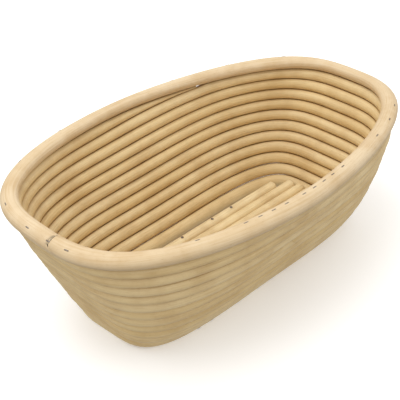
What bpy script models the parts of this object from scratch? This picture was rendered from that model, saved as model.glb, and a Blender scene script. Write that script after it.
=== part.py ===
"""An oblong banneton: a bread proofing basket wound from round rattan cane.

The wall is one helix of cane, made of two lengths that meet in a slanting splice. Its top end
tapers away under the rim and its bottom end tapers away at the foot. A thicker rim cane closes the
top with a scarf joint, and straight canes on thin cross slats make the floor. Staples hold the rim
to the wall and the lowest course to the one above, and nails hold the floor to the slats.

Metres, +Z up. X runs along the basket and Z = 0 is the surface that it stands on. A turn is one
trip round the basket, counter-clockwise from above, starting at the wall's top end. A share is a
place down the wall: 0 at the middle of the rim cane, 1 at the sole.
"""
import math

import bmesh
import bpy
from mathutils import Matrix, Vector

# Overall sizes.
RIM_HALF_LENGTH = 0.1240  # middle of the rim cane, along X
RIM_HALF_WIDTH = 0.0749  # the same, along Y
RIM_HEIGHT = 0.0819  # middle of the rim cane above the table, halfway along
RIM_TILT = math.radians(1.6)  # the rim rises towards -X, where the wall is one course deeper

# Slope of the wall and outline of the basket.
END_FLARE = math.radians(23.3)  # from the vertical
SIDE_FLARE = math.radians(22.5)
FOOT_TUCK = 0.0080  # how much further the lowest courses turn in along the sides
FOOT_TUCK_POWER = 6
SIDE_EXPONENT_RIM = 1.77  # |x / a| ** SIDE + |y / b| ** END = 1
SIDE_EXPONENT_FOOT = 4.6
END_EXPONENT_RIM = 3.0
END_EXPONENT_FOOT = 4.6
PLAN_TAPER = 0.073  # share of the rim's width lost between the middle and the +X end

# Canes.
CANE_BREADTH = 0.0073  # wall canes, measured across the wall
RIM_THICKNESS = 0.0078  # rim cane, measured down the wall
RIM_BREADTH = 0.0102  # rim cane, measured across the wall
CLEARANCE = 0.0003  # between neighbouring pieces

# The winding, in turns.
START_X = 0.0932  # the wall's top end lies towards (START_X, RIM_HALF_WIDTH) from the middle
FULL_TURNS = 11
LAST_TURN_PART = 0.47
TOP_TAPER = 0.19
FOOT_TAPER = 0.15
BLUNT = 0.25  # how far into a taper its cane ends, as a share of the taper
SPLICE_TURN = 4.615
SPLICE_SLANT = 0.012
SCARF_TURN = 0.391
SCARF_SLANT = 0.014

# Floor.
FLOOR_CANES = 7
FLOOR_CANE_DIAMETER = 0.0073
FLOOR_END_GAP = 0.0014
SLAT_THICKNESS = 0.0012
SLAT_WIDTH = 0.0090
SLAT_PLACES = (-0.0360, -0.0103, 0.0163, 0.0338)
SLAT_INSET = 0.0040  # from the outer side of the outermost floor canes

# Fasteners.
WIRE = 0.0009
CROWN = 0.0042  # width of a staple
RIM_LEG = 0.0108
FOOT_LEG = 0.0088
CROWN_ANGLE = math.radians(5)  # from the rim's top towards its outside
FOOT_CROWN_ANGLE = math.radians(100)  # from straight down towards the outside
FOOT_AIM = 0.60  # where the legs point, from the lowest course's middle to the next one's
NAIL_HEAD = 0.0020
NAIL_HEAD_HEIGHT = 0.0005
NAIL_SHANK = 0.0009
# Staples stand in groups, closer where the rim bends: first turn, last turn, how many.
RIM_STAPLES = (
    (0.324, 0.360, 2),
    (0.376, 0.408, 2),
    (0.504, 0.550, 2),
    (0.564, 0.590, 3),
    (0.608, 0.642, 4),
    (0.656, 0.718, 2),
    (0.754, 0.784, 2),
    (0.880, 1.260, 7),
)
FOOT_STAPLES = (
    (0.482, 0.502, 2),
    (0.554, 0.604, 2),
    (0.636, 0.670, 2),
    (0.742, 0.762, 2),
    (0.860, 0.960, 2),
    (1.100, 1.200, 2),
)

# Resolution.
SEGMENTS = 40  # per turn
WALL_SIDES = 8
RIM_SIDES = 12
FLOOR_SIDES = 12  # a multiple of four, so that facets face up, down and aside
NAIL_SIDES = 8
NUDGE = 0.002  # step, in turns or shares, over which a direction is measured

MATERIALS = {
    "rattan_rim": ((0.79, 0.66, 0.49), 0.50, 0.0),
    "rattan_wall": ((0.62, 0.45, 0.26), 0.55, 0.0),
    "rattan_floor": ((0.80, 0.66, 0.42), 0.50, 0.0),
    "slat_wood": ((0.60, 0.44, 0.27), 0.65, 0.0),
    "steel_wire": ((0.42, 0.40, 0.38), 0.38, 1.0),
}


def smooth(value):
    """Eases from 0 to 1 while value goes from 0 to 1."""
    value = min(max(value, 0.0), 1.0)
    return value * value * (3 - 2 * value)


def between(low, high, share):
    return low + (high - low) * share


def outline_radius(direction, half_length, half_width, side_exponent, end_exponent):
    """How far the outline lies from the middle, found by Newton's method from outside."""
    along = abs(math.cos(direction)) / half_length
    aside = abs(math.sin(direction)) / half_width
    radius = 1 / max(along, aside)
    for _ in range(14):
        side_term = (along * radius) ** side_exponent
        end_term = (aside * radius) ** end_exponent
        slope = (side_exponent * side_term + end_exponent * end_term) / radius
        radius -= (side_term + end_term - 1) / slope
    return radius


def wall_at(direction, share):
    """The point of the wall's middle surface in a plan direction, share of the way down."""
    drop = RIM_HEIGHT * share
    tuck = FOOT_TUCK * share**FOOT_TUCK_POWER
    radius = outline_radius(
        direction,
        RIM_HALF_LENGTH - drop * math.tan(END_FLARE),
        RIM_HALF_WIDTH - drop * math.tan(SIDE_FLARE) - tuck,
        between(SIDE_EXPONENT_RIM, SIDE_EXPONENT_FOOT, share),
        between(END_EXPONENT_RIM, END_EXPONENT_FOOT, share),
    )
    x = radius * math.cos(direction)
    taper = PLAN_TAPER * (1 - share)
    y = radius * math.sin(direction) * (1 - taper * x / RIM_HALF_LENGTH)
    rim_height = RIM_HEIGHT - x * math.tan(RIM_TILT)
    return Vector((x, y, rim_height * (1 - share)))


def even_directions():
    """Plan directions at equal steps round the wall, halfway down, from the wall's top end."""
    fine = 1440
    step = 2 * math.pi / fine
    first = math.atan2(RIM_HALF_WIDTH, START_X)
    directions = [first + step * i for i in range(fine + 1)]
    points = [wall_at(direction, 0.5) for direction in directions]
    travelled = [0.0]
    for one, other in zip(points, points[1:]):
        travelled.append(travelled[-1] + (other - one).length)
    return directions, [distance / travelled[-1] for distance in travelled]


DIRECTIONS, TRAVELLED = even_directions()


def direction_at(turn):
    """The plan direction at a turn."""
    part = turn % 1
    low, high = 0, len(TRAVELLED) - 1
    while high - low > 1:
        middle = (low + high) // 2
        if TRAVELLED[middle] <= part:
            low = middle
        else:
            high = middle
    share = (part - TRAVELLED[low]) / (TRAVELLED[high] - TRAVELLED[low])
    return between(DIRECTIONS[low], DIRECTIONS[high], share)


def wall_point(turn, share):
    return wall_at(direction_at(turn), share)


def along_at(turn, share):
    """The direction that a cane runs in, level with this share."""
    return (wall_point(turn + NUDGE, share) - wall_point(turn - NUDGE, share)).normalized()


def slope_at(turn, share):
    """The wall's slope per share, square to the canes."""
    slope = (wall_point(turn, share + NUDGE) - wall_point(turn, share)) / NUDGE
    along = along_at(turn, share)
    return slope - along * slope.dot(along)


def share_below_rim(turn):
    """The share where the rim cane's lower side lies."""
    return RIM_THICKNESS / 2 / slope_at(turn, 0).length


def course_shares(turn):
    """Where the course at this turn begins and ends down the wall.

    The start of the winding slides in under the rim and pushes the next course down one cane. The
    tail of the winding thins out under the course above. Between them the courses are level.
    """
    course, part = divmod(turn, 1)
    slide = smooth(part / TOP_TAPER)
    tail = smooth((LAST_TURN_PART - part) / FOOT_TAPER)
    total = FULL_TURNS - 1 + slide + tail
    top = max(0.0, course - 1 + slide)
    bottom = min(course + slide, total)
    first = share_below_rim(turn)
    return [between(first, 1.0, height / total) for height in (top, bottom)]


class Section:
    """A cane's cross-section: its middle, its axes down and out of the wall, and its half sizes."""

    def __init__(self, above, below, along, breadth):
        height = below - above
        height -= along * height.dot(along)
        self.middle = (above + below) / 2
        self.along = along
        self.down = height.normalized()
        self.out = self.down.cross(along)
        self.half_height = (height.length - CLEARANCE) / 2
        self.half_breadth = breadth / 2

    def point(self, angle, grow=0.0):
        """A point on the section, by its angle from straight down towards the outside."""
        down = self.down * (math.cos(angle) * (self.half_height + grow))
        return self.middle + down + self.out * (math.sin(angle) * (self.half_breadth + grow))


def wall_section(turn):
    """The section of a wall cane at a turn. A tapered cane narrows less than it thins."""
    top, bottom = course_shares(turn)
    above, below = wall_point(turn, top), wall_point(turn, bottom)
    middle = (top + bottom) / 2
    narrowed = min(1.0, 0.45 + 0.6 * (below - above).length / CANE_BREADTH)
    return Section(above, below, along_at(turn, middle), CANE_BREADTH * narrowed)


def rim_section(turn):
    """The section of the rim cane at a turn."""
    middle = wall_point(turn, 0)
    half = slope_at(turn, 0).normalized() * RIM_THICKNESS / 2
    return Section(middle - half, middle + half, along_at(turn, 0), RIM_BREADTH)


def turns_between(first, last):
    """The two ends and every whole segment between them, so that stacked canes bend together."""
    inner = range(math.floor(first * SEGMENTS) + 1, math.ceil(last * SEGMENTS))
    near = 0.3 / SEGMENTS
    kept = [i / SEGMENTS for i in inner if first + near < i / SEGMENTS < last - near]
    return [first] + kept + [last]


def sweep(name, section_at, sides, material, ends, slants):
    """A cane between two turns. A slant shears that end along the cane, in turns."""
    mesh = bmesh.new()
    spread = 1 / math.cos(math.pi / sides)  # puts the facets, not the corners, on the section
    rings = []
    slant_at = dict(zip(ends, slants))
    for turn in turns_between(*ends):
        slant = slant_at.get(turn, 0.0)
        ring = []
        for side in range(sides):
            angle = 2 * math.pi * (side + 0.5) / sides
            section = section_at(turn + slant / 2 * math.cos(angle))
            section.half_height *= spread
            section.half_breadth *= spread
            corner = section.point(angle)
            corner.z = max(corner.z, 0.0)  # the sole is worn flat
            ring.append(mesh.verts.new(corner))
        rings.append(ring)
    for ring, following in zip(rings, rings[1:]):
        for side in range(sides):
            after = (side + 1) % sides
            mesh.faces.new((ring[side], ring[after], following[after], following[side]))
    mesh.faces.new(rings[0][::-1])
    mesh.faces.new(rings[-1])
    return finish(name, mesh, material, round_piece=True)


def finish(name, mesh, material, round_piece=False):
    """Turns a bmesh into an object of this name and material."""
    bmesh.ops.recalc_face_normals(mesh, faces=mesh.faces)
    for face in mesh.faces:
        face.smooth = round_piece and len(face.verts) == 4
    data = bpy.data.meshes.new(name)
    mesh.to_mesh(data)
    mesh.free()
    data.materials.append(bpy.data.materials[material])
    piece = bpy.data.objects.new(name, data)
    bpy.context.scene.collection.objects.link(piece)
    return piece


def add_box(mesh, size, matrix):
    """Adds a box of this size, centred on matrix's origin."""
    scale = Matrix.Diagonal((*size, 1))
    bmesh.ops.create_cube(mesh, size=1, matrix=matrix @ scale)


def add_rod(mesh, diameter, low, high, sides):
    """Adds an upright rod round the Z axis."""
    depth = high - low
    bmesh.ops.create_cone(
        mesh,
        cap_ends=True,
        segments=sides,
        radius1=diameter / 2,
        radius2=diameter / 2,
        depth=depth,
        matrix=Matrix.Translation((0, 0, low + depth / 2)),
    )


def cut(piece, cutters):
    """Cuts one hidden mesh of closed cutters from a piece."""
    modifier = piece.modifiers.new("holes", "BOOLEAN")
    modifier.operation = "DIFFERENCE"
    modifier.solver = "EXACT"
    modifier.object = cutters
    cutters.hide_render = True
    cutters.display_type = "WIRE"


def staple_matrix(host, target, angle, upward):
    """Axes of a staple on a cane: X along the cane, Z out along its legs, origin under its crown."""
    lift = CLEARANCE + WIRE * 0.75
    crown = host.point(math.pi - angle if upward else angle, lift)
    out = (crown - target).normalized()
    side = out.cross(host.along).normalized()
    along = side.cross(out)
    axes = Matrix((along, side, out)).transposed().to_4x4()
    return Matrix.Translation(crown) @ axes


def add_staple(mesh, leg):
    """A square-wire staple: a crown along X and two legs that point down -Z."""
    outer, inner = CROWN / 2, CROWN / 2 - WIRE
    top, bottom = WIRE / 2, -WIRE / 2
    outline = (
        (-outer, top),
        (-outer, -leg),
        (-inner, -leg),
        (-inner, bottom),
        (inner, bottom),
        (inner, -leg),
        (outer, -leg),
        (outer, top),
    )
    front = [mesh.verts.new((x, -WIRE / 2, z)) for x, z in outline]
    back = [mesh.verts.new((x, WIRE / 2, z)) for x, z in outline]
    mesh.faces.new(front)
    mesh.faces.new(back[::-1])
    for i in range(len(outline)):
        after = (i + 1) % len(outline)
        mesh.faces.new((front[after], front[i], back[i], back[after]))


def staples(prefix, places, leg, cutters):
    """One staple at each place, and the pockets for its legs added to the cutters."""
    for number, matrix in enumerate(places, 1):
        mesh = bmesh.new()
        add_staple(mesh, leg)
        piece = finish(f"{prefix}_{number:02d}", mesh, "steel_wire")
        piece.matrix_world = matrix
        pocket = WIRE + 2 * CLEARANCE
        for side in (-1, 1):
            middle = (side * (CROWN - WIRE) / 2, 0, (CLEARANCE + WIRE - leg - CLEARANCE) / 2)
            size = (pocket, pocket, leg + WIRE + 2 * CLEARANCE)
            add_box(cutters, size, matrix @ Matrix.Translation(middle))


def group_turns(groups):
    """The turns of staples that stand in evenly spaced groups."""
    return [
        between(first, last, i / (count - 1))
        for first, last, count in groups
        for i in range(count)
    ]


def rim_staple_places():
    """Each crown lies on the rim's outer shoulder, and its legs reach into the first course."""
    places = []
    for turn in group_turns(RIM_STAPLES):
        target = wall_section(turn % 1 if turn % 1 > TOP_TAPER else turn % 1 + 1).middle
        places.append(staple_matrix(rim_section(turn), target, CROWN_ANGLE, upward=True))
    return places


def lowest_course(part):
    """The lowest turn of the winding at this part of a turn."""
    tail_is_whole = part < LAST_TURN_PART - FOOT_TAPER
    return part + FULL_TURNS if tail_is_whole else part + FULL_TURNS - 1


def foot_staple_places():
    """Each crown lies low on the lowest course, and its legs reach into the course above."""
    places = []
    for turn in group_turns(FOOT_STAPLES):
        lowest = lowest_course(turn % 1)
        host = wall_section(lowest)
        target = host.middle.lerp(wall_section(lowest - 1).middle, FOOT_AIM)
        places.append(staple_matrix(host, target, FOOT_CROWN_ANGLE, upward=False))
    return places


def wall_and_rim():
    """The rim cane and the two wall canes, with the staples that hold them."""
    gap = CLEARANCE / (2 * perimeter())
    start = BLUNT * TOP_TAPER
    end = FULL_TURNS + LAST_TURN_PART - BLUNT * FOOT_TAPER
    wall = (wall_section, WALL_SIDES, "rattan_wall")
    upper = sweep("upper_wall_cane", *wall, (start, SPLICE_TURN - gap), (0, SPLICE_SLANT))
    lower = sweep("lower_wall_cane", *wall, (SPLICE_TURN + gap, end), (SPLICE_SLANT, 0))
    whole_turn = (SCARF_TURN + gap, SCARF_TURN + 1 - gap)
    rim = sweep("rim_cane", rim_section, RIM_SIDES, "rattan_rim", whole_turn, (SCARF_SLANT,) * 2)
    rim_pockets = bmesh.new()
    staples("rim_staple", rim_staple_places(), RIM_LEG, rim_pockets)
    cutters = finish("rim_staple_pockets", rim_pockets, "steel_wire")
    cut(rim, cutters)
    cut(upper, cutters)
    foot_pockets = bmesh.new()
    staples("foot_staple", foot_staple_places(), FOOT_LEG, foot_pockets)
    cut(lower, finish("foot_staple_pockets", foot_pockets, "steel_wire"))


def perimeter():
    """Length of one turn, about halfway down."""
    points = [wall_point(i / SEGMENTS, 0.5) for i in range(SEGMENTS + 1)]
    return sum((other - one).length for one, other in zip(points, points[1:]))


def foot_line():
    """Sections of the lowest course all the way round, with the winding's tail."""
    parts = [i / (4 * SEGMENTS) for i in range(4 * SEGMENTS)]
    tail_end = LAST_TURN_PART - BLUNT * FOOT_TAPER
    return [wall_section(part + FULL_TURNS - (part > tail_end)) for part in parts]


def clearance_inside(x, y, foot):
    """How far a plan point lies inside the lowest course's middle line."""
    point = Vector((x, y))
    nearest = min(foot, key=lambda section: (section.middle.xy - point).length)
    return (nearest.middle.xy - point).dot(nearest.out.xy.normalized())


def reach(y, end, foot):
    """How far a floor cane at y goes towards end (+1 or -1) before it meets the lowest course."""
    radius = FLOOR_CANE_DIAMETER / 2
    spacing = CANE_BREADTH / 2 + FLOOR_END_GAP
    low, high = 0.0, RIM_HALF_LENGTH
    for _ in range(20):
        x = end * (low + high) / 2
        room = min(clearance_inside(x, y + side * radius, foot) for side in (-1, 1))
        if room > spacing:
            low = abs(x)
        else:
            high = abs(x)
    return end * low


def floor():
    """Straight canes side by side on cross slats, nailed along the two outermost canes."""
    foot = foot_line()
    radius = FLOOR_CANE_DIAMETER / 2
    pitch = FLOOR_CANE_DIAMETER + CLEARANCE
    height = SLAT_THICKNESS + CLEARANCE + radius
    rows = [(i - (FLOOR_CANES - 1) / 2) * pitch for i in range(FLOOR_CANES)]
    nail_holes = bmesh.new()
    number = 0
    for x in SLAT_PLACES:
        for y in (rows[0], rows[-1]):
            number += 1
            floor_nail(f"floor_nail_{number}", x, y, height + radius, nail_holes)
    holes = finish("floor_nail_holes", nail_holes, "steel_wire")
    for number, y in enumerate(rows, 1):
        mesh = bmesh.new()
        first, last = reach(y, -1, foot), reach(y, 1, foot)
        lying = Matrix.Translation((0, y, height)) @ Matrix.Rotation(math.pi / 2, 4, "Y")
        half_side = Matrix.Rotation(math.pi / FLOOR_SIDES, 4, "Z")
        add_rod(mesh, FLOOR_CANE_DIAMETER / math.cos(math.pi / FLOOR_SIDES), first, last, FLOOR_SIDES)
        bmesh.ops.transform(mesh, matrix=lying @ half_side, verts=mesh.verts)
        piece = finish(f"floor_cane_{number}", mesh, "rattan_floor", round_piece=True)
        if y in (rows[0], rows[-1]):
            cut(piece, holes)
    half_span = rows[-1] + radius - SLAT_INSET
    for number, x in enumerate(SLAT_PLACES, 1):
        mesh = bmesh.new()
        middle = Matrix.Translation((x, 0, SLAT_THICKNESS / 2))
        add_box(mesh, (SLAT_WIDTH, 2 * half_span, SLAT_THICKNESS), middle)
        cut(finish(f"cross_slat_{number}", mesh, "slat_wood"), holes)


def floor_nail(name, x, y, top, holes):
    """A nail whose head lies on a floor cane and whose shank ends inside the slat."""
    mesh = bmesh.new()
    head_low = top + CLEARANCE
    outline = (
        (0, SLAT_THICKNESS / 2),
        (NAIL_SHANK / 2, SLAT_THICKNESS / 2),
        (NAIL_SHANK / 2, head_low),
        (NAIL_HEAD / 2, head_low),
        (NAIL_HEAD / 2, head_low + NAIL_HEAD_HEIGHT),
        (0, head_low + NAIL_HEAD_HEIGHT),
    )
    points = [mesh.verts.new((radius, 0, z)) for radius, z in outline]
    edges = [mesh.edges.new(pair) for pair in zip(points, points[1:])]
    bmesh.ops.spin(
        mesh,
        geom=points + edges,
        cent=(0, 0, 0),
        axis=(0, 0, 1),
        angle=2 * math.pi,
        steps=NAIL_SIDES,
        use_merge=True,
    )
    bmesh.ops.remove_doubles(mesh, verts=mesh.verts, dist=1e-6)
    piece = finish(name, mesh, "steel_wire")
    piece.location = (x, y, 0)
    hole = bmesh.new()
    add_rod(hole, NAIL_SHANK + 2 * CLEARANCE, -CLEARANCE, top + CLEARANCE, NAIL_SIDES)
    bmesh.ops.translate(hole, vec=(x, y, 0), verts=hole.verts)
    data = bpy.data.meshes.new("nail_hole")
    hole.to_mesh(data)
    hole.free()
    holes.from_mesh(data)
    bpy.data.meshes.remove(data)


def make_materials():
    for name, (colour, roughness, metallic) in MATERIALS.items():
        material = bpy.data.materials.new(name)
        material.use_nodes = True
        shader = material.node_tree.nodes["Principled BSDF"]
        shader.inputs["Base Color"].default_value = (*colour, 1)
        shader.inputs["Roughness"].default_value = roughness
        shader.inputs["Metallic"].default_value = metallic
        material.diffuse_color = (*colour, 1)


def main():
    for old in list(bpy.data.objects):
        bpy.data.objects.remove(old)
    make_materials()
    wall_and_rim()
    floor()


main()
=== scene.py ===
"""The looks of an oblong rattan banneton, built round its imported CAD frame.

Every cane is swept again with a round section, its natural waver and its fibres along it. The
staples, nails and slats are rounded pieces in the CAD pieces' places. Metres, +Z up, Z = 0 is the
table. A turn is one trip round the basket, counter-clockwise from above, starting at the wall's top
end. A share is a place down the wall: 0 at the middle of the rim cane, 1 at the sole.
"""
import math

import bmesh
import bpy
from mathutils import Matrix, Vector, noise


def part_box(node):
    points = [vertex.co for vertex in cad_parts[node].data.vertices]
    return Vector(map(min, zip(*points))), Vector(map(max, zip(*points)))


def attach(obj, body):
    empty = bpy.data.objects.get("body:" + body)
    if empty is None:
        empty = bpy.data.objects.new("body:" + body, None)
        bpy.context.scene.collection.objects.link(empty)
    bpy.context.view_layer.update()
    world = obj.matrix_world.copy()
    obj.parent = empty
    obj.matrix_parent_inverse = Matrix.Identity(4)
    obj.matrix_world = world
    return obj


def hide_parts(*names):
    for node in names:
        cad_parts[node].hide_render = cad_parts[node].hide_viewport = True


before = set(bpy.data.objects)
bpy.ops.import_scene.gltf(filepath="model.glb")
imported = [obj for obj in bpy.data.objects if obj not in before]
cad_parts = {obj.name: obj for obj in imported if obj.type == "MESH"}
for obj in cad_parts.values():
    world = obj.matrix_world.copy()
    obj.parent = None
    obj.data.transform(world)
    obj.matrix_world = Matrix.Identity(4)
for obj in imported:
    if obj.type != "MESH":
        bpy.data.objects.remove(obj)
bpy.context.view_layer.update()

# Camera, round a point in the rim's plane.
AIM = Vector((0, 0, 0.0845))
AZIMUTH = math.radians(-42.85)
ELEVATION = math.radians(34.63)
ROLL = math.radians(-2.88)
DISTANCE = 0.5399
SHIFT_RIGHT = -0.01076
SHIFT_UP = -0.03388
LENS = 85.0

# Canes, as in the CAD.
CANE_BREADTH = 0.0073
RIM_THICKNESS = 0.0078
RIM_BREADTH = 0.0102
FLOOR_CANE_DIAMETER = 0.0073
CONTACT = 0.00002  # gap between courses

# Slope and outline of the wall. The overall sizes come from the frame.
RIM_TILT = math.radians(1.6)
END_FLARE = math.radians(23.3)
SIDE_FLARE = math.radians(22.5)
FOOT_TUCK = 0.0080
FOOT_TUCK_POWER = 6
SIDE_EXPONENT_RIM = 1.77
SIDE_EXPONENT_FOOT = 4.6
END_EXPONENT_RIM = 3.0
END_EXPONENT_FOOT = 4.6
PLAN_TAPER = 0.073
RIM_HALF_LENGTH = 0.1240
RIM_HALF_WIDTH = 0.0749
RIM_HEIGHT = 0.0819

# The winding, in turns.
START_X = 0.0932
FULL_TURNS = 11
LAST_TURN_PART = 0.47
TOP_TAPER = 0.19
FOOT_TAPER = 0.15
BLUNT = 0.25  # share of a taper that is cut off
TOP_END_FADE = 0.016  # where the course below closes on the wall's top end
SPLICE_TURN = 4.615
SPLICE_SLANT = 0.012
SCARF_TURN = 0.391
SCARF_SLANT = 0.014

# Fasteners.
WIRE = 0.0009
CROWN = 0.0042
STAPLE_SINK = 0.30  # share of the wire's thickness
RIM_LEG = 0.0040
FOOT_LEG = 0.0030
FOOT_CROWN_ANGLE = math.radians(75)
RIM_STAPLES = (
    (0.324, 0.360, 2),
    (0.384, 0.402, 2),
    (0.504, 0.550, 2),
    (0.564, 0.590, 3),
    (0.608, 0.642, 4),
    (0.656, 0.718, 2),
    (0.754, 0.784, 2),
    (0.880, 1.260, 7),
)
FOOT_STAPLES = (
    (0.482, 0.502, 2),
    (0.554, 0.604, 2),
    (0.636, 0.670, 2),
    (0.742, 0.762, 2),
    (0.860, 0.960, 2),
    (1.100, 1.200, 2),
)

# Natural waver of the canes.
WAVER = 0.00016  # how far the line between two courses wanders
BULGE = 0.00022  # how far a course stands in or out
SWELL = 0.025  # share by which a cane's breadth varies

# Resolution.
SEGMENTS = 200
WALL_SIDES = 20
RIM_SIDES = 28
FLOOR_SIDES = 24
WIRE_SIDES = 10
NAIL_SIDES = 16
END_STEP = 0.0006  # turns from a cut end to the cane's full section

# Worn ends and edges.
END_SHRINK = 0.97
FLOOR_END_SHRINK = 0.94
SLAT_EDGE = 0.0003


def smooth(value):
    value = min(max(value, 0.0), 1.0)
    return value * value * (3 - 2 * value)


def between(low, high, share):
    return low + (high - low) * share


def outline_radius(direction, half_length, half_width, side_exponent, end_exponent):
    """How far the outline lies from the middle, found by Newton's method from outside."""
    along = abs(math.cos(direction)) / half_length
    aside = abs(math.sin(direction)) / half_width
    radius = 1 / max(along, aside)
    for _ in range(9):
        side_term = (along * radius) ** side_exponent
        end_term = (aside * radius) ** end_exponent
        slope = (side_exponent * side_term + end_exponent * end_term) / radius
        radius -= (side_term + end_term - 1) / slope
    return radius


def wall_at(direction, share):
    """The point of the wall's middle surface in a plan direction, share of the way down."""
    drop = RIM_HEIGHT * share
    tuck = FOOT_TUCK * max(share, 0.0) ** FOOT_TUCK_POWER
    radius = outline_radius(
        direction,
        RIM_HALF_LENGTH - drop * math.tan(END_FLARE),
        RIM_HALF_WIDTH - drop * math.tan(SIDE_FLARE) - tuck,
        between(SIDE_EXPONENT_RIM, SIDE_EXPONENT_FOOT, share),
        between(END_EXPONENT_RIM, END_EXPONENT_FOOT, share),
    )
    x = radius * math.cos(direction)
    taper = PLAN_TAPER * (1 - share)
    y = radius * math.sin(direction) * (1 - taper * x / RIM_HALF_LENGTH)
    rim_height = RIM_HEIGHT - x * math.tan(RIM_TILT)
    return Vector((x, y, rim_height * (1 - share)))


def even_directions():
    """Plan directions at equal steps round the wall, halfway down, from START_X on the +Y side."""
    fine = 1440
    step = 2 * math.pi / fine
    first = math.atan2(RIM_HALF_WIDTH, START_X)
    directions = [first + step * i for i in range(fine + 1)]
    points = [wall_at(direction, 0.5) for direction in directions]
    travelled = [0.0]
    for one, other in zip(points, points[1:]):
        travelled.append(travelled[-1] + (other - one).length)
    return directions, [distance / travelled[-1] for distance in travelled], travelled[-1]


DIRECTIONS, TRAVELLED, PERIMETER = even_directions()
NUDGE = 0.002


def direction_at(turn):
    part = turn % 1
    low, high = 0, len(TRAVELLED) - 1
    while high - low > 1:
        middle = (low + high) // 2
        if TRAVELLED[middle] <= part:
            low = middle
        else:
            high = middle
    share = (part - TRAVELLED[low]) / (TRAVELLED[high] - TRAVELLED[low])
    return between(DIRECTIONS[low], DIRECTIONS[high], share)


def wall_point(turn, share):
    return wall_at(direction_at(turn), share)


def along_at(turn, share):
    return (wall_point(turn + NUDGE, share) - wall_point(turn - NUDGE, share)).normalized()


def slope_at(turn, share):
    """The wall's slope per share, square to the canes."""
    slope = (wall_point(turn, share + NUDGE) - wall_point(turn, share)) / NUDGE
    along = along_at(turn, share)
    return slope - along * slope.dot(along)


def ripple(turn, rate, seed):
    """Smooth noise along the winding, between about -1 and 1."""
    return noise.noise(Vector((turn * rate, seed, 0.37))) * 1.6


def course_shares(turn, waver):
    """Where the course at this turn begins and ends down the wall."""
    course, part = divmod(turn, 1)
    slide = smooth(part / TOP_TAPER)
    tail = smooth((LAST_TURN_PART - part) / FOOT_TAPER)
    total = FULL_TURNS - 1 + slide + tail
    top = max(0.0, course - 1 + slide)
    if course == 1:
        top *= smooth((part - BLUNT * TOP_TAPER + TOP_END_FADE) / TOP_END_FADE)
    bottom = min(course + slide, total)
    first = RIM_THICKNESS / 2 / slope_at(turn, 0).length
    shares = []
    for height, at in ((top, turn), (bottom, turn + 1)):
        inner = 0.0 < height < total - 0.01
        wander = waver * ripple(at, 7.0, 3.1) / RIM_HEIGHT if inner else 0.0
        shares.append(between(first, 1.0, height / total) + wander)
    return shares


class Section:
    """A cane's cross-section: its middle, its axes down and out of the wall, and its half sizes."""

    def __init__(self, above, below, along, breadth, gap):
        height = below - above
        height -= along * height.dot(along)
        self.middle = (above + below) / 2
        self.along = along
        self.down = height.normalized()
        self.out = self.down.cross(along)
        self.half_height = (height.length - gap) / 2
        self.half_breadth = breadth / 2

    def point(self, angle, grow=0.0):
        """A point on the section, by its angle from straight down towards the outside."""
        down = self.down * (math.cos(angle) * (self.half_height + grow))
        return self.middle + down + self.out * (math.sin(angle) * (self.half_breadth + grow))


def wall_section(turn, waver=WAVER):
    """The section of a wall cane at a turn."""
    top, bottom = course_shares(turn, waver)
    above, below = wall_point(turn, top), wall_point(turn, bottom)
    middle = (top + bottom) / 2
    narrowed = min(1.0, 0.45 + 0.6 * (below - above).length / CANE_BREADTH)
    breadth = CANE_BREADTH * narrowed * (1 + SWELL * ripple(turn, 5.0, 8.4))
    section = Section(above, below, along_at(turn, middle), breadth, CONTACT)
    section.middle += section.out * (BULGE * ripple(turn, 9.0, 1.7))
    return section


def rim_section(turn):
    """The section of the rim cane at a turn."""
    middle = wall_point(turn, 0)
    half = slope_at(turn, 0).normalized() * RIM_THICKNESS / 2
    part = turn - SCARF_TURN
    breadth = RIM_BREADTH * (1 + 0.02 * ripple(part, 6.0, 5.5))
    section = Section(middle - half, middle + half, along_at(turn, 0), breadth, CONTACT)
    section.half_height *= 1 + 0.012 * ripple(part, 8.0, 2.2)
    return section


def new_piece(name, vertices, faces, uvs, material, node):
    """A smooth mesh piece that stands for a CAD node. uvs holds one pair per face corner."""
    data = bpy.data.meshes.new(name)
    data.from_pydata(vertices, [], faces)
    layer = data.uv_layers.new(name="along_and_round")
    flat = [number for pair in uvs for number in pair]
    layer.data.foreach_set("uv", flat)
    for polygon in data.polygons:
        polygon.use_smooth = True
    data.materials.append(material)
    data.validate()
    piece = bpy.data.objects.new(name, data)
    bpy.context.scene.collection.objects.link(piece)
    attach(piece, "root")
    if node:
        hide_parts(*node)
    return piece


def tube(name, rings, lengths, around, material, node, start_uv=0.0):
    """A closed tube through rings of points, with slightly rounded cut ends.

    U runs along the cane in metres, V once around it from its lowest line.
    """
    sides = len(rings[0])
    vertices = [point for ring in rings for point in ring]
    faces, uvs = [], []
    for i in range(len(rings) - 1):
        for j in range(sides):
            after = (j + 1) % sides
            base, following = i * sides, (i + 1) * sides
            faces.append((base + j, base + after, following + after, following + j))
            u0, u1 = start_uv + lengths[i], start_uv + lengths[i + 1]
            v0, v1 = around[j], around[j] + 1 / sides
            uvs += [(u0, v0), (u0, v1), (u1, v1), (u1, v0)]
    for first, order in ((0, -1), ((len(rings) - 1) * sides, 1)):
        ring = [first + j for j in range(sides)][::order]
        middle = sum((Vector(vertices[i]) for i in ring), Vector()) / sides
        inner = [len(vertices) + k for k in range(sides)]
        vertices += [Vector(vertices[i]).lerp(middle, 0.55) for i in ring]
        centre = len(vertices)
        vertices.append(middle)
        for k in range(sides):
            after = (k + 1) % sides
            faces.append((ring[k], ring[after], inner[after], inner[k]))
            faces.append((inner[k], inner[after], centre))
            uvs += [(-1.0, 0.02)] * 7
    return new_piece(name, vertices, faces, uvs, material, node)


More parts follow.
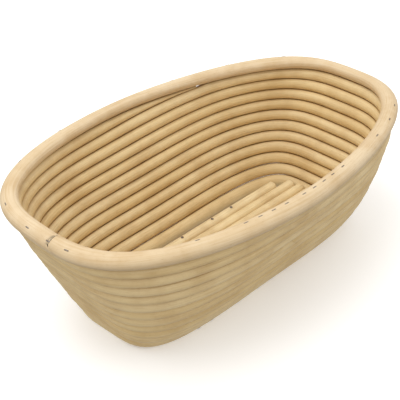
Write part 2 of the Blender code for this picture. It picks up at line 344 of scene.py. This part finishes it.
def sweep(name, section_at, ends, slants, sides, material, node, slot):
    """A cane from one turn to another. A slant shears that end along the cane."""
    count = max(4, round((ends[1] - ends[0]) * SEGMENTS))
    turns = [between(*ends, i / count) for i in range(count + 1)]
    turns = [turns[0], turns[0] + END_STEP, *turns[1:-1], turns[-1] - END_STEP, turns[-1]]
    slants_at = {0: slants[0], 1: slants[0], len(turns) - 2: slants[1], len(turns) - 1: slants[1]}
    around = [(j + 0.5) / sides for j in range(sides)]
    rings, lengths = [], []
    for i, turn in enumerate(turns):
        slant = slants_at.get(i, 0.0)
        shrink = END_SHRINK if i in (0, len(turns) - 1) else 1.0
        ring = []
        section = section_at(turn)
        for share in around:
            angle = 2 * math.pi * share
            if slant:
                section = section_at(turn + slant / 2 * math.cos(angle))
            corner = section.point(angle)
            corner = section.middle.lerp(corner, shrink)
            corner.z = max(corner.z, 0.0)
            ring.append(corner)
        rings.append(ring)
        lengths.append((turn - turns[0]) * PERIMETER)
    return tube(name, rings, lengths, around, material, node)


def nodes_of(name):
    material = bpy.data.materials.new(name)
    material.use_nodes = True
    return material, material.node_tree, material.node_tree.nodes["Principled BSDF"]


class Graph:
    """Shorthand for adding and joining shader nodes."""

    def __init__(self, tree):
        self.tree = tree

    def add(self, kind, **settings):
        node = self.tree.nodes.new(kind)
        for name, value in settings.items():
            if hasattr(node, name):
                setattr(node, name, value)
            else:
                node.inputs[name].default_value = value
        return node

    def join(self, output, socket):
        self.tree.links.new(output, socket)

    def math(self, operation, first, second=None):
        node = self.add("ShaderNodeMath", operation=operation)
        for socket, value in zip(node.inputs, (first, second)):
            if value is None:
                continue
            if isinstance(value, (int, float)):
                socket.default_value = value
            else:
                self.join(value, socket)
        return node.outputs[0]

    def noise(self, vector, scale, detail=3.0, roughness=0.5):
        node = self.add("ShaderNodeTexNoise")
        node.inputs["Scale"].default_value = scale
        node.inputs["Detail"].default_value = detail
        node.inputs["Roughness"].default_value = roughness
        self.join(vector, node.inputs["Vector"])
        return node.outputs["Fac"]

    def stretch(self, vector, scale, offset=(0, 0, 0)):
        node = self.add("ShaderNodeMapping")
        node.inputs["Scale"].default_value = scale
        node.inputs["Location"].default_value = offset
        self.join(vector, node.inputs["Vector"])
        return node.outputs[0]

    def range(self, value, low, high, to_low=0.0, to_high=1.0):
        node = self.add("ShaderNodeMapRange")
        for name, number in zip(("From Min", "From Max", "To Min", "To Max"), (low, high, to_low, to_high)):
            node.inputs[name].default_value = number
        self.join(value, node.inputs["Value"])
        return node.outputs[0]

    def mix(self, factor, first, second, blend="MIX"):
        node = self.add("ShaderNodeMix", data_type="RGBA", blend_type=blend)
        for socket, value in ((node.inputs[0], factor), (node.inputs[6], first), (node.inputs[7], second)):
            if isinstance(value, tuple):
                socket.default_value = (*value, 1)
            elif isinstance(value, (int, float)):
                socket.default_value = value
            else:
                self.join(value, socket)
        return node.outputs[2]


def linear(red, green, blue):
    """A colour given as it looks on a screen, 0 to 255, as the shader wants it."""
    shares = [channel / 255 for channel in (red, green, blue)]
    return tuple(s / 12.92 if s <= 0.04045 else ((s + 0.055) / 1.055) ** 2.4 for s in shares)


def cane_material(name, base, pale, deep, pore_and_groove_shade, both_grooves):
    """Peeled rattan: fibres along the cane, pores, pale and deep stretches, painted shade along the
    grooves.
    """
    material, tree, shader = nodes_of(name)
    graph = Graph(tree)
    uv = graph.add("ShaderNodeUVMap", uv_map="along_and_round").outputs[0]
    place = graph.add("ShaderNodeTexCoord").outputs["Object"]
    # Stretches of the cane, then mottling across the whole basket.
    stretches = graph.noise(graph.stretch(uv, (9, 0.7, 1)), 1.0, 2.0)
    colour = graph.mix(graph.range(stretches, 0.35, 0.68), base, pale)
    mottle = graph.noise(place, 55.0, 4.0, 0.6)
    colour = graph.mix(graph.range(mottle, 0.42, 0.70, 0.0, 0.42), colour, deep)
    # Fibres, fine and coarse.
    fine = graph.noise(graph.stretch(uv, (60, 70, 1)), 1.0, 3.0, 0.62)
    coarse = graph.noise(graph.stretch(uv, (22, 24, 1), (3.1, 7.7, 0)), 1.0, 2.0)
    colour = graph.mix(graph.range(fine, 0.50, 0.72, 0.0, 0.38), colour, deep)
    colour = graph.mix(graph.range(coarse, 0.52, 0.75, 0.0, 0.30), colour, deep)
    colour = graph.mix(graph.range(coarse, 0.46, 0.28, 0.0, 0.35), colour, pale)
    # Open pores: short dark dashes along the cane.
    pores = graph.noise(graph.stretch(uv, (420, 95, 1), (1.3, 4.2, 0)), 1.0, 1.0)
    pore_mask = graph.range(pores, 0.70, 0.76)
    colour = graph.mix(graph.math("MULTIPLY", pore_mask, 0.45), colour, pore_and_groove_shade)
    # Painted shade: the colour darkens along the lines of contact, where shade falls in the grooves between
    # the courses.
    round_share = graph.add("ShaderNodeSeparateXYZ")
    graph.join(uv, round_share.inputs[0])
    height = graph.math("COSINE", graph.math("MULTIPLY", round_share.outputs["Y"], 2 * math.pi))
    if both_grooves:
        height = graph.math("ABSOLUTE", height)
    # Painted groove shade: strongest on the line of contact, fading a few degrees round the cane.
    painted_groove_shade = graph.range(height, 0.86, 0.985, 0.0, 0.85)
    colour = graph.mix(painted_groove_shade, colour, pore_and_groove_shade)
    # Cut ends have U = -1 and show the darker pith.
    is_end = graph.math("LESS_THAN", round_share.outputs["X"], -0.5)
    pith = graph.noise(place, 2600.0, 1.0)
    end_colour = graph.mix(graph.range(pith, 0.45, 0.62), pale, deep)
    colour = graph.mix(is_end, colour, end_colour)
    graph.join(colour, shader.inputs["Base Color"])
    rough = graph.range(fine, 0.3, 0.75, 0.42, 0.62)
    graph.join(rough, shader.inputs["Roughness"])
    shader.inputs["Specular IOR Level"].default_value = 0.42
    bump = graph.add("ShaderNodeBump")
    bump.inputs["Strength"].default_value = 0.45
    bump.inputs["Distance"].default_value = 0.00025
    fibres = graph.math("ADD", fine, coarse)
    relief = graph.math("SUBTRACT", fibres, graph.math("MULTIPLY", pore_mask, 0.7))
    graph.join(relief, bump.inputs["Height"])
    graph.join(bump.outputs[0], shader.inputs["Normal"])
    return material


def slat_material():
    """Thin planed wood with its grain across the basket."""
    material, tree, shader = nodes_of("slat_wood")
    graph = Graph(tree)
    place = graph.add("ShaderNodeTexCoord").outputs["Object"]
    grain = graph.noise(graph.stretch(place, (900, 30, 300)), 1.0, 4.0, 0.6)
    patches = graph.noise(graph.stretch(place, (60, 12, 60)), 1.0, 2.0)
    colour = graph.mix(graph.range(grain, 0.35, 0.7), linear(214, 186, 146), linear(166, 128, 84))
    colour = graph.mix(graph.range(patches, 0.4, 0.7, 0.0, 0.4), colour, linear(186, 150, 104))
    graph.join(colour, shader.inputs["Base Color"])
    graph.join(graph.range(grain, 0.3, 0.7, 0.55, 0.78), shader.inputs["Roughness"])
    bump = graph.add("ShaderNodeBump")
    bump.inputs["Strength"].default_value = 0.4
    bump.inputs["Distance"].default_value = 0.0002
    graph.join(grain, bump.inputs["Height"])
    graph.join(bump.outputs[0], shader.inputs["Normal"])
    return material


def steel_material():
    """Drawn wire, dull, with brown spots of rust."""
    material, tree, shader = nodes_of("steel_wire")
    graph = Graph(tree)
    place = graph.add("ShaderNodeTexCoord").outputs["Object"]
    drawn = graph.noise(graph.stretch(place, (3000, 900, 900)), 1.0, 2.0)
    rust = graph.noise(place, 700.0, 4.0, 0.65)
    spots = graph.range(rust, 0.50, 0.66)
    colour = graph.mix(graph.range(drawn, 0.35, 0.7), linear(150, 140, 130), linear(112, 102, 94))
    colour = graph.mix(spots, colour, linear(86, 56, 34))
    graph.join(colour, shader.inputs["Base Color"])
    graph.join(graph.range(spots, 0.0, 1.0, 0.85, 0.1), shader.inputs["Metallic"])
    graph.join(graph.range(rust, 0.35, 0.65, 0.34, 0.72), shader.inputs["Roughness"])
    bump = graph.add("ShaderNodeBump")
    bump.inputs["Strength"].default_value = 0.3
    bump.inputs["Distance"].default_value = 0.00005
    graph.join(rust, bump.inputs["Height"])
    graph.join(bump.outputs[0], shader.inputs["Normal"])
    return material


RATTAN_DEEP = linear(178, 142, 88)
# The colour of the open pores, and of the painted shade in the grooves between courses.
PORE_AND_GROOVE_SHADE = linear(150, 100, 44)
WALL = cane_material(
    "rattan_wall", linear(213, 186, 134), linear(225, 203, 158), RATTAN_DEEP, PORE_AND_GROOVE_SHADE, True
)
RIM = cane_material(
    "rattan_rim", linear(206, 182, 144), linear(216, 196, 164), RATTAN_DEEP, PORE_AND_GROOVE_SHADE, False
)
FLOOR = cane_material(
    "rattan_floor", linear(229, 208, 162), linear(237, 219, 178), RATTAN_DEEP, PORE_AND_GROOVE_SHADE, False
)
SLAT = slat_material()
STEEL = steel_material()


def walls_and_rim():
    gap = CONTACT / PERIMETER
    start = BLUNT * TOP_TAPER
    end = FULL_TURNS + LAST_TURN_PART - BLUNT * FOOT_TAPER
    wall = (WALL_SIDES, WALL)
    sweep(
        "upper_wall", wall_section, (start, SPLICE_TURN - gap), (0, SPLICE_SLANT),
        *wall, ["upper_wall_cane"], "rattan_wall",
    )
    sweep(
        "lower_wall", wall_section, (SPLICE_TURN + gap, end), (SPLICE_SLANT, 0),
        *wall, ["lower_wall_cane"], "rattan_wall",
    )
    sweep(
        "rim", rim_section, (SCARF_TURN + gap, SCARF_TURN + 1 - gap), (SCARF_SLANT, SCARF_SLANT),
        RIM_SIDES, RIM, ["rim_cane"], "rattan_rim",
    )


def floor_canes():
    """Nearly straight canes in the CAD's places, with sawn ends."""
    around = [(j + 0.5) / FLOOR_SIDES for j in range(FLOOR_SIDES)]
    names = sorted(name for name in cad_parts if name.startswith("floor_cane_"))
    for number, name in enumerate(names):
        low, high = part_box(name)
        length = high[0] - low[0]
        middle_y, middle_z = (low[1] + high[1]) / 2, (low[2] + high[2]) / 2
        count = round(length / 0.0022)
        stations = [length * i / count for i in range(count + 1)]
        stations = [0.0, 0.0003, *stations[1:-1], length - 0.0003, length]
        rings = []
        for i, station in enumerate(stations):
            radius = FLOOR_CANE_DIAMETER / 2 * (1 + 0.012 * ripple(station * 14, 1.0, number + 0.5))
            radius *= FLOOR_END_SHRINK if i in (0, len(stations) - 1) else 1.0
            rise = 0.00010 * ripple(station * 9, 1.0, number + 20.5)
            middle = Vector((low[0] + station, middle_y, middle_z + rise))
            ring = []
            for share in around:
                angle = 2 * math.pi * share
                ring.append(middle + Vector((0, math.sin(angle), -math.cos(angle))) * radius)
            rings.append(ring)
        # Each cane starts at its own U, so that no two have the same fibres.
        start_uv = 3.0 + number
        tube(f"floor_{number + 1}", rings, stations, around, FLOOR, [name], start_uv)


def rounded_box(name, low, high, radius, material, node):
    """A slat with worn, rounded edges."""
    mesh = bmesh.new()
    size = Vector(high) - Vector(low)
    middle = (Vector(high) + Vector(low)) / 2
    matrix = Matrix.Translation(middle) @ Matrix.Diagonal((*size, 1))
    bmesh.ops.create_cube(mesh, size=1, matrix=matrix)
    bmesh.ops.bevel(mesh, geom=mesh.edges[:], offset=radius, segments=3, profile=0.5, affect="EDGES")
    data = bpy.data.meshes.new(name)
    mesh.to_mesh(data)
    mesh.free()
    for polygon in data.polygons:
        polygon.use_smooth = True
    data.materials.append(material)
    piece = bpy.data.objects.new(name, data)
    bpy.context.scene.collection.objects.link(piece)
    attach(piece, "root")
    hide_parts(node)
    return piece


def slats():
    for name in sorted(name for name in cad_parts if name.startswith("cross_slat_")):
        low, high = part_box(name)
        plain_name = name.replace("cross_slat", "slat")
        rounded_box(plain_name, low, high, SLAT_EDGE, SLAT, name)


def wire(name, route, radius, node):
    """A round wire along a route of points."""
    sides = WIRE_SIDES
    rings = []
    tangents = []
    for i in range(len(route)):
        ahead = route[min(i + 1, len(route) - 1)] - route[max(i - 1, 0)]
        tangents.append(ahead.normalized())
    side = tangents[0].orthogonal().normalized()
    for point, tangent in zip(route, tangents):
        side = (side - tangent * side.dot(tangent)).normalized()
        other = tangent.cross(side)
        ring = []
        for j in range(sides):
            angle = 2 * math.pi * j / sides
            ring.append(point + (side * math.cos(angle) + other * math.sin(angle)) * radius)
        rings.append(ring)
    lengths = [0.0]
    for one, two in zip(route, route[1:]):
        lengths.append(lengths[-1] + (two - one).length)
    around = [j / sides for j in range(sides)]
    return tube(name, rings, lengths, around, STEEL, node)


def staple(name, crown, along, out, leg, node):
    """A staple pressed on a cane: a flat crown, two tight bends and two legs that go in."""
    half = CROWN / 2 - WIRE / 2
    bend = WIRE * 0.9
    route = []
    for side in (-1, 1):
        corner = []
        for step in range(5):
            angle = math.pi / 2 * step / 4
            x = side * (half - bend + bend * math.sin(angle))
            corner.append(crown + along * x - out * (bend - bend * math.cos(angle)))
        down = crown + along * (side * half) - out * leg
        route += [down] + corner[::-1] if side < 0 else corner + [down]
    return wire(name, route, WIRE / 2, node)


def group_turns(groups):
    return [
        between(first, last, i / (count - 1))
        for first, last, count in groups
        for i in range(count)
    ]


def lowest_course(part):
    tail_is_whole = part < LAST_TURN_PART - FOOT_TAPER
    return part + FULL_TURNS if tail_is_whole else part + FULL_TURNS - 1


def staple_lean(turn):
    """How far from the rim's top a crown leans, in or out: inwards on the near side."""
    return math.radians(-18 + 45 * smooth((turn - 0.40) / 0.12) - 60 * smooth((turn - 0.62) / 0.17))


def staples():
    """Crowns pressed a little into the rim cane near its top and into the lowest course."""
    sink = -WIRE * STAPLE_SINK
    for number, turn in enumerate(group_turns(RIM_STAPLES), 1):
        host = rim_section(turn)
        name = f"rim_staple_{number:02d}"
        crown = host.point(math.pi + staple_lean(turn), sink)
        out = (crown - host.middle).normalized()
        staple(f"rim_wire_{number:02d}", crown, host.along, out, RIM_LEG, [name])
    for number, turn in enumerate(group_turns(FOOT_STAPLES), 1):
        host = wall_section(lowest_course(turn % 1))
        name = f"foot_staple_{number:02d}"
        crown = host.point(FOOT_CROWN_ANGLE, sink)
        out = (crown - host.middle).normalized()
        staple(f"foot_wire_{number:02d}", crown, host.along, out, FOOT_LEG, [name])


def nails():
    """Domed nail heads in the outermost floor canes."""
    for name in sorted(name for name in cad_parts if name.startswith("floor_nail_")):
        low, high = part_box(name)
        x, y = (low[0] + high[0]) / 2, (low[1] + high[1]) / 2
        radius = (high[0] - low[0]) / 2
        top = high[2]
        profile = [(radius * 0.45, low[2]), (radius * 0.45, top - 0.0008), (radius * 0.95, top - 0.0006)]
        for step in range(1, 6):
            angle = math.pi / 2 * step / 6
            profile.append((radius * math.cos(angle), top - 0.0006 + 0.0005 * math.sin(angle)))
        sides = NAIL_SIDES
        rings = []
        for reach, z in profile:
            ring = []
            for j in range(sides):
                angle = 2 * math.pi * j / sides
                ring.append(Vector((x + reach * math.cos(angle), y + reach * math.sin(angle), z)))
            rings.append(ring)
        around = [j / sides for j in range(sides)]
        lengths = [z for _, z in profile]
        tube(name.replace("floor_nail", "nail"), rings, lengths, around, STEEL, [name])


def stage():
    """A plain pale floor under the basket."""
    data = bpy.data.meshes.new("floor_sheet")
    size = 3.0
    corners = [(-size, -size, 0), (size, -size, 0), (size, size, 0), (-size, size, 0)]
    data.from_pydata(corners, [], [(0, 1, 2, 3)])
    sheet = bpy.data.objects.new("floor_sheet", data)
    bpy.context.scene.collection.objects.link(sheet)
    material, _, shader = nodes_of("floor_white")
    shader.inputs["Base Color"].default_value = (0.93, 0.93, 0.93, 1)
    shader.inputs["Emission Color"].default_value = (1, 1, 1, 1)
    shader.inputs["Emission Strength"].default_value = 0.18
    shader.inputs["Roughness"].default_value = 0.8
    data.materials.append(material)
    sheet.visible_diffuse = False
    sheet.visible_glossy = False


def area_light(name, place, aim, size, power, colour=(1, 1, 1)):
    data = bpy.data.lights.new(name, "AREA")
    data.shape = "SQUARE"
    data.size = size
    data.energy = power
    data.color = colour
    lamp = bpy.data.objects.new(name, data)
    bpy.context.scene.collection.objects.link(lamp)
    lamp.location = place
    lamp.rotation_euler = (Vector(aim) - Vector(place)).to_track_quat("-Z", "Y").to_euler()


def lights():
    world = bpy.context.scene.world or bpy.data.worlds.new("studio")
    bpy.context.scene.world = world
    world.use_nodes = True
    # Bright above and dimmer below, where the table's own light would come from.
    graph = Graph(world.node_tree)
    background = world.node_tree.nodes["Background"]
    direction = graph.add("ShaderNodeTexCoord").outputs["Generated"]
    split = graph.add("ShaderNodeSeparateXYZ")
    graph.join(direction, split.inputs[0])
    above = graph.range(split.outputs["Z"], -0.25, 0.35)
    sky = graph.mix(above, (0.52, 0.51, 0.49), (1.08, 1.07, 1.05))
    graph.join(sky, background.inputs["Color"])
    background.inputs["Strength"].default_value = 1.0
    area_light("key", (-0.30, 0.25, 1.1), (0, 0, 0.03), 1.0, 6.0)
    area_light("fill", (0.9, -0.9, 0.7), (0, 0, 0.03), 1.2, 1.2)
    bpy.context.scene.view_settings.view_transform = "Standard"


def camera():
    """The camera at the photograph's angle, round the middle of the rim."""
    back = Vector(
        (
            math.sin(AZIMUTH) * math.cos(ELEVATION),
            -math.cos(AZIMUTH) * math.cos(ELEVATION),
            math.sin(ELEVATION),
        )
    )
    right = (-back).cross(Vector((0, 0, 1))).normalized()
    upward = right.cross(-back)
    place = back * DISTANCE + right * SHIFT_RIGHT + upward * SHIFT_UP
    across = right * math.cos(ROLL) + upward * math.sin(ROLL)
    above = upward * math.cos(ROLL) - right * math.sin(ROLL)
    axes = Matrix((across, above, back)).transposed().to_4x4()
    data = bpy.data.cameras.new("camera")
    data.lens = LENS
    data.sensor_width = 36
    eye = bpy.data.objects.new("camera", data)
    bpy.context.scene.collection.objects.link(eye)
    eye.matrix_world = Matrix.Translation(AIM + place) @ axes
    bpy.context.scene.camera = eye


walls_and_rim()
floor_canes()
slats()
staples()
nails()
stage()
lights()
camera()
